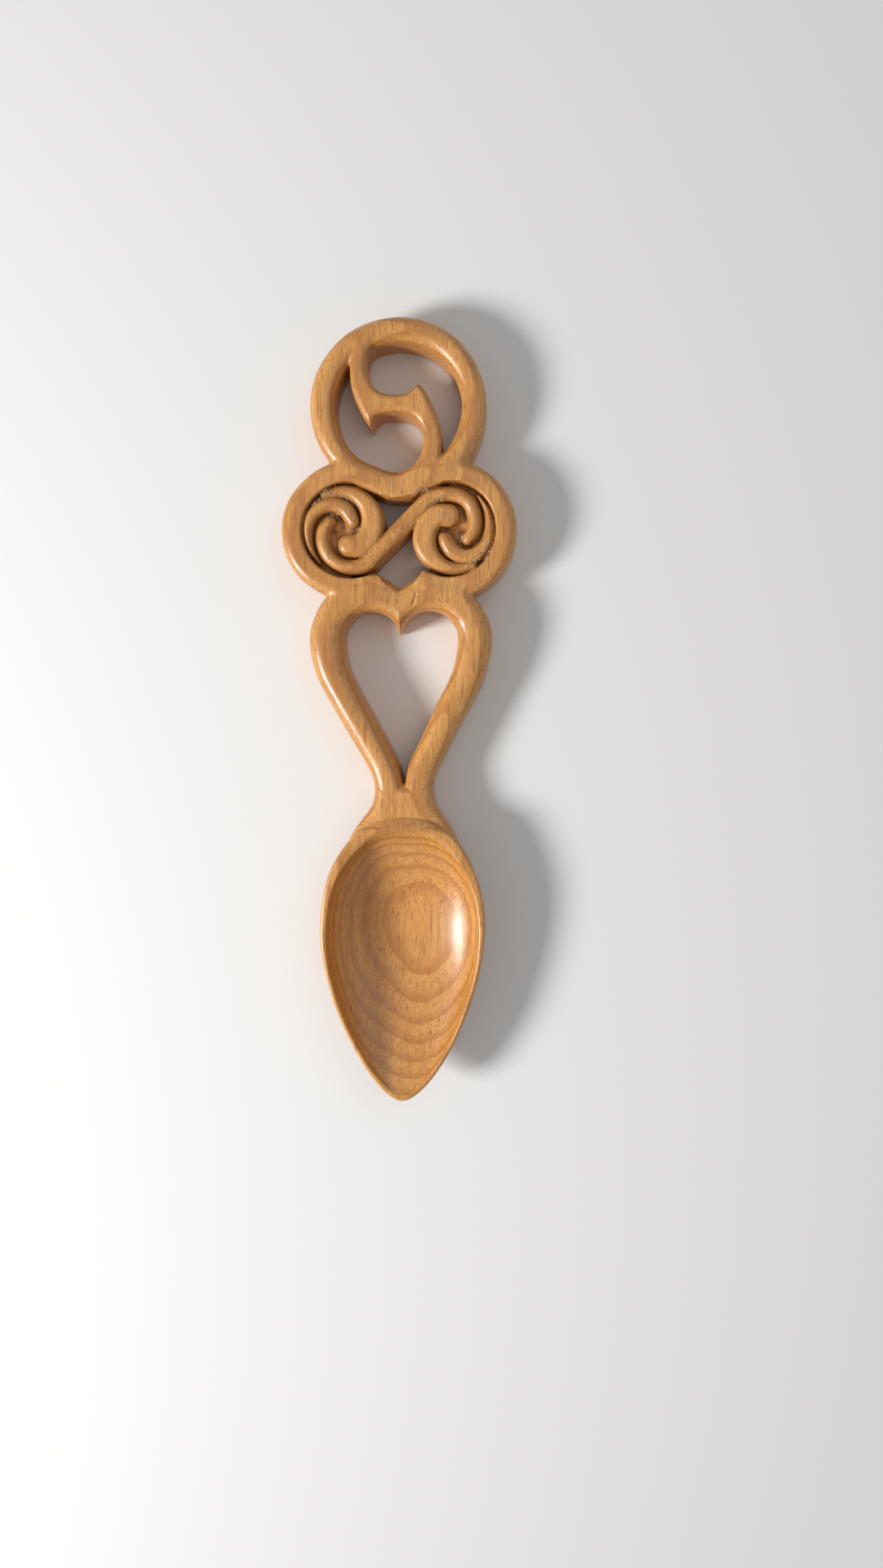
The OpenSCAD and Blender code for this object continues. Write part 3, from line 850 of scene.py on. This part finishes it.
class Tree:
    """A node tree, filled by one method for any node."""

    def __init__(self, tree):
        self.tree = tree
        tree.nodes.clear()

    def node(self, kind, settings=None, *values, out=0, **named):
        """Adds a node with its settings, its sockets' values or links, and gives one output."""
        n = self.tree.nodes.new(kind)
        for key, value in (settings or {}).items():
            setattr(n, key, value)
        for key, value in [*enumerate(values), *named.items()]:
            target = n.inputs[key if isinstance(key, int) else key.replace("_", " ")]
            if isinstance(value, Sock):
                self.tree.links.new(value.socket, target)
            else:
                target.default_value = value
        return Sock(self, n.outputs[out]) if n.outputs else None

    def outputs(self, kind, *names):
        """Adds a node and gives several of its outputs."""
        n = self.tree.nodes.new(kind)
        return [Sock(self, n.outputs[name]) for name in names]

    def mix(self, factor, a, b):
        """Colour between a and b."""
        n = self.tree.nodes.new("ShaderNodeMix")
        n.data_type = "RGBA"
        for key, value in zip((0, 6, 7), (factor, a, b)):
            if isinstance(value, Sock):
                self.tree.links.new(value.socket, n.inputs[key])
            else:
                n.inputs[key].default_value = value if key == 0 else (*value, 1)
        return Sock(self, n.outputs[2])

    def ramp(self, value, low, high):
        """Soft step from 0 at low to 1 at high."""
        soft = {"interpolation_type": "SMOOTHSTEP"}
        return self.node("ShaderNodeMapRange", soft, value, low, high, 0.0, 1.0)

    def noise(self, place, detail, at, scale):
        v = self.node("ShaderNodeMapping", None, place, at, (0, 0, 0), scale)
        return self.node("ShaderNodeTexNoise", None, v, Scale=1.0, Detail=detail)

    def attribute(self, name):
        """A number that the carving left on each point."""
        return self.node("ShaderNodeAttribute", {"attribute_name": name}, out=2)


def new_material(name):
    """An empty material and its tree."""
    material = bpy.data.materials.new(name)
    material.use_nodes = True
    return material, Tree(material.node_tree)


def wood(name, colours, polish, painted_hollow_shade):
    """Oiled cherry: growth rings through the board, fine pores along Y, painted shade in the hollows and
    worn edges.
    """
    material, t = new_material(name)
    place = t.node("ShaderNodeTexCoord", None, out=3)
    x, y, z = [t.node("ShaderNodeSeparateXYZ", None, place, out=i) for i in range(3)]
    drift, ripple, streak, broad, fibre, cloud, fleck = [t.noise(place, *NOISES[key]) for key in NOISES]
    level = z - 0.135 * x + 0.0045 * drift - 0.016 * y + 0.0005 * ripple
    years = level / YEAR
    ring = years.maths("FRACT", years)
    late = t.ramp(ring, 0.35, 0.93) * (1 - t.ramp(ring, 0.94, 1.0))
    fleck = t.ramp(fleck, 0.66, 0.74)
    # Mask of the hollows: it paints shade into them and makes them rougher
    hollow = t.ramp(t.attribute("hollow"), 0.3, 1.0)
    worn = t.ramp(t.attribute("edge"), 0.35, 0.9)
    light, mid, dark, deep = colours
    c = t.mix(late * 0.85, light, mid)
    c = t.mix(t.ramp(broad, 0.35, 0.75) * 0.5, c, mid)
    c = t.mix(t.ramp(streak, 0.45, 0.7) * 0.62, c, dark)
    c = t.mix(t.ramp(fibre, 0.52, 0.7) * 0.55, c, dark)
    c = t.mix(t.ramp(cloud, 0.42, 0.8) * 0.32, c, dark)
    c = t.mix(fleck * 0.75, c, deep)
    # Painted shade: the hollows are darkened towards the deep colour, by how deep they lie
    c = t.mix(hollow * painted_hollow_shade, c, deep)
    c = t.mix(worn * 0.25, c, light)
    c = t.mix(t.attribute("torn") * 0.85, c, TORN_COLOUR)
    rough = polish + 0.12 * streak + 0.1 * hollow - 0.05 * late
    height = 0.6 * streak + 0.25 * broad - 0.8 * fleck + 0.1 * late
    bump = t.node("ShaderNodeBump", None, Strength=0.35, Distance=BUMP_HEIGHT, Height=height)
    shader = t.node("ShaderNodeBsdfPrincipled", None, Base_Color=c, Roughness=rough, Normal=bump,
                    Coat_Weight=0.18, Coat_Roughness=0.25)
    t.node("ShaderNodeOutputMaterial", None, shader)
    return material


def spoon_materials(scene):
    """The wood of each slot, made once."""
    w = scene.spoon_wood
    colours = [tuple(c) for c in (w.light, w.mid, w.dark, w.deep)]
    made = {}
    for slot, (polish, painted_hollow_shade) in FINISH_AND_HOLLOW_SHADE.items():
        name = slot + "_finish"
        made[slot] = bpy.data.materials.get(name) or wood(name, colours, polish, painted_hollow_shade)
    return made


# Torn fibres

# Heights in millimetres at which the carved surface is looked for, from the top down
FIBRE_HEIGHTS = np.arange(13.0, 4.0, -0.02).reshape(1, -1)
# How far a fibre turns either way, and its smallest and largest scale
FIBRE_TURN = (1.45, 0.4, 0.6)
FIBRE_SCALE = ((0.6, 0.6, 0.5), (1.2, 1.2, 1.4))


def fibre_tree(material):
    """Geometry Nodes tree that scatters tapered fibres along the edges of a mesh."""
    group = bpy.data.node_groups.new("torn_fibres", "GeometryNodeTree")
    group.interface.new_socket("Geometry", in_out="INPUT", socket_type="NodeSocketGeometry")
    names = ("Spacing", "Spread", "Length", "Thickness")
    for name in names:
        size = group.interface.new_socket(name, in_out="INPUT", socket_type="NodeSocketFloat")
        size.subtype = "DISTANCE"
    group.interface.new_socket("Seed", in_out="INPUT", socket_type="NodeSocketInt")
    group.interface.new_socket("Geometry", in_out="OUTPUT", socket_type="NodeSocketGeometry")
    t = Tree(group)
    lines, spacing, spread, size, thick, seed = t.outputs("NodeGroupInput", "Geometry", *names, "Seed")
    curve = t.node("GeometryNodeMeshToCurve", None, lines)
    points = t.node("GeometryNodeCurveToPoints", {"mode": "LENGTH"}, curve, Length=spacing)
    reach = t.node("ShaderNodeCombineXYZ", None, spread, spread, 0.0)
    back = t.node("ShaderNodeCombineXYZ", None, spread * -1, spread * -1, size * -0.25)
    vector = {"data_type": "FLOAT_VECTOR"}
    aside = t.node("FunctionNodeRandomValue", vector, back, reach, Seed=seed)
    points = t.node("GeometryNodeSetPosition", None, points, Offset=aside)
    fibre = t.node("GeometryNodeMeshCone", {"fill_type": "NGON"}, Vertices=4, Side_Segments=2,
                   Radius_Top=thick * 0.2, Radius_Bottom=thick, Depth=size)
    on_points = {"data_type": "FLOAT", "domain": "POINT"}
    fibre = t.node("GeometryNodeStoreNamedAttribute", on_points, fibre, Name="torn", Value=1.0)
    other_way = tuple(-k for k in FIBRE_TURN)
    turn = t.node("FunctionNodeRandomValue", vector, other_way, FIBRE_TURN, Seed=seed + 1)
    scale = t.node("FunctionNodeRandomValue", vector, *FIBRE_SCALE, Seed=seed + 2)
    fibres = t.node("GeometryNodeInstanceOnPoints", None, points, Instance=fibre, Rotation=turn, Scale=scale)
    fibres = t.node("GeometryNodeRealizeInstances", None, fibres)
    fibres = t.node("GeometryNodeSetMaterial", None, fibres, Material=material)
    t.node("NodeGroupOutput", None, fibres)
    return group


def lay_fibres(s, material):
    """Fibres along the torn edges, from lines that are dropped onto the carved surface."""
    points = []
    edges = []
    for rows in TORN:
        line = smooth_path(rows, 4)
        wooden = Blank.carving(line[:, :1], line[:, 1:], FIBRE_HEIGHTS) < 0
        edges += [(len(points) + i, len(points) + i + 1) for i in range(len(line) - 1)]
        points += zip(*line.T, FIBRE_HEIGHTS[0, wooden.argmax(1)])
    obj = mesh_object("torn_fibres", np.array(points), [], edges)
    m = obj.modifiers.new("fibres", "NODES")
    m.node_group = fibre_tree(material)
    sizes = {"Spacing": s.fibre_spacing, "Spread": s.fibre_spread, "Length": s.fibre_length,
             "Thickness": s.fibre_thickness, "Seed": s.fibre_seed}
    for item in m.node_group.interface.items_tree:
        if item.in_out == "INPUT" and item.name in sizes:
            m[item.identifier] = sizes[item.name]
    mesh = evaluated_mesh(obj)
    obj.modifiers.remove(m)
    obj.data = mesh
    mesh.name = obj.name
    return obj


# Studio

FLOOR_REACH = 1.5
FLOOR_COLOUR = (0.80, 0.79, 0.77, 1)
SKY_COLOUR = (0.95, 0.97, 1.0, 1)
SKY_STRENGTH = 0.32
BACKDROP_COLOUR = (0.82, 0.81, 0.79, 1)
# The camera's sensor, its focal length and the picture's height in pixels, its place and its turn
SENSOR = 36.0
FOCAL = 1400
PICTURE_H = 1918
EYE = (0.023, 0.002, 0.3035)
EYE_TURN = ((0.9991, -0.0001, 0.0428), (-0.0028, 0.9978, 0.0669), (-0.0427, -0.0669, 0.9968))
# Each lamp's name, place, size and power
LAMPS = (("key", (-0.62, -0.20, 0.42), 0.20, 6.6), ("fill", (0.35, 0.30, 0.75), 0.9, 1.2))


def studio_floor():
    """Plain pale floor under the spoon."""
    r = FLOOR_REACH
    mesh = bpy.data.meshes.new("floor")
    mesh.from_pydata([(-r, -r, 0), (r, -r, 0), (r, r, 0), (-r, r, 0)], [], [(0, 1, 2, 3)])
    material, t = new_material("floor")
    cloth = t.node("ShaderNodeBsdfPrincipled", None, Base_Color=FLOOR_COLOUR, Roughness=0.9)
    t.node("ShaderNodeOutputMaterial", None, cloth)
    mesh.materials.append(material)
    add_object("floor", mesh)


def studio_camera():
    """Camera nearly over the spoon, where the photo's stands."""
    camera = bpy.data.cameras.new("camera")
    camera.sensor_fit = "AUTO"
    camera.sensor_width = SENSOR
    camera.lens = SENSOR * FOCAL / PICTURE_H
    camera.clip_start = 0.01
    eye = add_object("camera", camera)
    eye.matrix_world = Matrix.Translation(Vector(EYE)) @ Matrix(EYE_TURN).to_4x4()
    return eye


def studio_lamps():
    """Soft lamps that look at the spoon's middle."""
    for name, at, size, power in LAMPS:
        lamp = bpy.data.lights.new(name, "AREA")
        lamp.shape = "DISK"
        lamp.size = size
        lamp.energy = power
        obj = add_object(name, lamp)
        obj.location = at
        obj.rotation_euler = (-Vector(at)).to_track_quat("-Z", "Y").to_euler()


def studio_world():
    """Soft light from all sides, and a pale backdrop where the camera or a reflection sees it."""
    world = bpy.data.worlds.new("studio")
    world.use_nodes = True
    t = Tree(world.node_tree)
    light = t.node("ShaderNodeBackground", None, SKY_COLOUR, SKY_STRENGTH)
    backdrop = t.node("ShaderNodeBackground", None, BACKDROP_COLOUR, 1.0)
    rays = ("Is Camera Ray", "Is Glossy Ray", "Is Transmission Ray")
    camera, glossy, through = t.outputs("ShaderNodeLightPath", *rays)
    shown = t.node("ShaderNodeMixShader", None, camera + glossy + through, light, backdrop)
    t.node("ShaderNodeOutputWorld", None, shown)
    return world


# Settings, operators and panel

def length(name, description, default):
    """Property for a distance in metres."""
    return bpy.props.FloatProperty(name=name, description=description, default=default, min=0.0,
                                   precision=5, subtype="DISTANCE", unit="LENGTH")


def colour(name, description, default):
    """Property for a colour."""
    return bpy.props.FloatVectorProperty(name=name, description=description, default=default, size=3,
                                         min=0.0, max=1.0, subtype="COLOR")


class SpoonSettings(bpy.types.PropertyGroup):
    """Sizes of the carving."""
    ring_radius: length("Ring radius", "Outer radius of the ring", 0.0223)
    ring_band: length("Ring band", "Width of the ring's band", 0.0062)
    lobe_radius: length("Lobe radius", "Outer radius of the panel's lobes", 0.0173)
    recess_radius: length("Recess radius", "Radius of the sunk rounds", 0.0118)
    front_round: length("Front rounding", "Rounding of the front edges", 0.0025)
    ring_round: length("Ring rounding", "Rounding of the ring's front edges", 0.0029)
    recess_round: length("Recess rounding", "Rounding of the sunk rounds' edge", 0.0009)
    scroll_round: length("Scroll rounding", "Rounding of the scroll's front edges", 0.0018)
    arm_round: length("Arm rounding", "Rounding of the spiral arms", 0.0019)
    arm_spread: length("Arm spread", "How much fuller the arms are than drawn", 0.00015)
    arm_height: length("Arm height", "Height of the arms' crests over the back", 0.0115)
    ground_height: length("Ground height", "Height of the ground between the arms", 0.0078)
    point_band: length("Point band", "Width of each heart side at the point", 0.0072)
    bowl_width: length("Bowl width", "Width of the bowl", 0.0426)
    bowl_height: length("Bowl height", "Height of the rim", 0.014)
    lip: length("Lip", "Width of the lip at the bowl's sides", 0.0017)
    bowl_floor: length("Bowl floor", "Wood under the deepest point", 0.003)
    wander: length("Wander", "How far the knife wandered from the drawn lines", 0.00009)
    tool_marks: length("Tool marks", "Height of the gouge's marks", 0.00012)
    grain_step: length("Mesh step", "Step of the carved surface's mesh", 0.00036)
    fibre_spacing: length("Fibre spacing", "Distance between fibres along an edge", 0.00006)
    fibre_spread: length("Fibre spread", "How far fibres lie from the edge", 0.0004)
    fibre_length: length("Fibre length", "Length of a torn fibre", 0.0007)
    fibre_thickness: length("Fibre thickness", "Radius of a torn fibre at its root", 0.00006)
    fibre_seed: bpy.props.IntProperty(name="Fibre seed", description="Seed of the fibres' scatter",
                                      default=4, min=0)
    lean: bpy.props.FloatProperty(name="Lean", description="How much of the hand-cut lean is kept",
                                  default=0.8, min=0.0, max=1.0, subtype="FACTOR")


class WoodSettings(bpy.types.PropertyGroup):
    """Colours of the wood."""
    light: colour("Light wood", "Early wood between the growth lines", (0.68, 0.330, 0.086))
    mid: colour("Middle wood", "Late wood of the growth lines", (0.47, 0.190, 0.041))
    dark: colour("Dark streaks", "Streaks along the grain", (0.30, 0.108, 0.022))
    # The deep colour serves the pores and flecks, and the painted shade in the hollows
    deep: colour("Pores and hollows", "Pores, flecks and deep hollows", (0.17, 0.058, 0.014))


class PieceOperator:
    """What the carving operators share: each parts and finishes its own pieces."""
    nodes = ()

    def execute(self, context):
        carve_blank(context.scene.spoon_sizes)
        materials = spoon_materials(context.scene)
        for name in self.nodes:
            finish_piece(name, materials)
        return {"FINISHED"}


class SPOON_OT_ring(PieceOperator, bpy.types.Operator):
    """Carve the ring and the S scroll inside it"""
    bl_idname = "spoon.ring"
    bl_label = "Ring and scroll"
    nodes = ("ring", "left_scroll", "right_scroll")


class SPOON_OT_rims(PieceOperator, bpy.types.Operator):
    """Carve the rims of the panel's two lobes"""
    bl_idname = "spoon.rims"
    bl_label = "Lobe rims"
    nodes = ("left_lobe_rim", "right_lobe_rim")


class SPOON_OT_spirals(PieceOperator, bpy.types.Operator):
    """Carve the spiral arms, the band between them and the ground they stand on"""
    bl_idname = "spoon.spirals"
    bl_label = "Spirals"
    nodes = ("left_ground", "right_ground", "spiral_band", "left_outer_arm", "right_outer_arm",
             "left_middle_arm", "right_middle_arm")


class SPOON_OT_heart(PieceOperator, bpy.types.Operator):
    """Carve the heart's crown and sides"""
    bl_idname = "spoon.heart"
    bl_label = "Heart"
    nodes = ("heart_crown", "left_heart_side", "right_heart_side")


class SPOON_OT_neck(PieceOperator, bpy.types.Operator):
    """Carve the neck"""
    bl_idname = "spoon.neck"
    bl_label = "Neck"
    nodes = ("neck",)


class SPOON_OT_bowl(PieceOperator, bpy.types.Operator):
    """Carve the bowl"""
    bl_idname = "spoon.bowl"
    bl_label = "Bowl"
    nodes = ("bowl",)


class SPOON_OT_fibres(bpy.types.Operator):
    """Lay the torn fibres along the gouged edges"""
    bl_idname = "spoon.fibres"
    bl_label = "Torn fibres"

    def execute(self, context):
        carve_blank(context.scene.spoon_sizes)
        obj = lay_fibres(context.scene.spoon_sizes, spoon_materials(context.scene)["groove_wood"])
        if not len(obj.data.polygons):
            raise RuntimeError("the torn fibres came out empty")
        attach(obj, "root")
        return {"FINISHED"}


class SPOON_OT_stage(bpy.types.Operator):
    """Set the floor, the lamps and the camera"""
    bl_idname = "spoon.stage"
    bl_label = "Studio"

    def execute(self, context):
        scene = context.scene
        studio_floor()
        studio_lamps()
        scene.camera = studio_camera()
        scene.world = studio_world()
        scene.view_settings.view_transform = "Standard"
        return {"FINISHED"}


class SPOON_PT_panel(bpy.types.Panel):
    """Sidebar panel with the settings and the operators"""
    bl_idname = "SPOON_PT_panel"
    bl_label = "Love Spoon"
    bl_space_type = "VIEW_3D"
    bl_region_type = "UI"
    bl_category = "Love Spoon"

    def draw(self, context):
        for group in (context.scene.spoon_sizes, context.scene.spoon_wood):
            for key in group.__annotations__:
                self.layout.prop(group, key)
        for operator in OPERATORS:
            self.layout.operator(operator.bl_idname)


OPERATORS = (SPOON_OT_ring, SPOON_OT_rims, SPOON_OT_spirals, SPOON_OT_heart, SPOON_OT_neck, SPOON_OT_bowl,
             SPOON_OT_fibres, SPOON_OT_stage)
CLASSES = (SpoonSettings, WoodSettings, *OPERATORS, SPOON_PT_panel)


def register():
    for c in CLASSES:
        bpy.utils.register_class(c)
    bpy.types.Scene.spoon_sizes = bpy.props.PointerProperty(type=SpoonSettings)
    bpy.types.Scene.spoon_wood = bpy.props.PointerProperty(type=WoodSettings)


def unregister():
    del bpy.types.Scene.spoon_wood
    del bpy.types.Scene.spoon_sizes
    for c in reversed(CLASSES):
        bpy.utils.unregister_class(c)


def main():
    """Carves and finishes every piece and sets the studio."""
    register()
    bpy.ops.spoon.ring()
    bpy.ops.spoon.rims()
    bpy.ops.spoon.spirals()
    bpy.ops.spoon.heart()
    bpy.ops.spoon.neck()
    bpy.ops.spoon.bowl()
    bpy.ops.spoon.fibres()
    bpy.ops.spoon.stage()


if __name__ == "__main__":
    main()
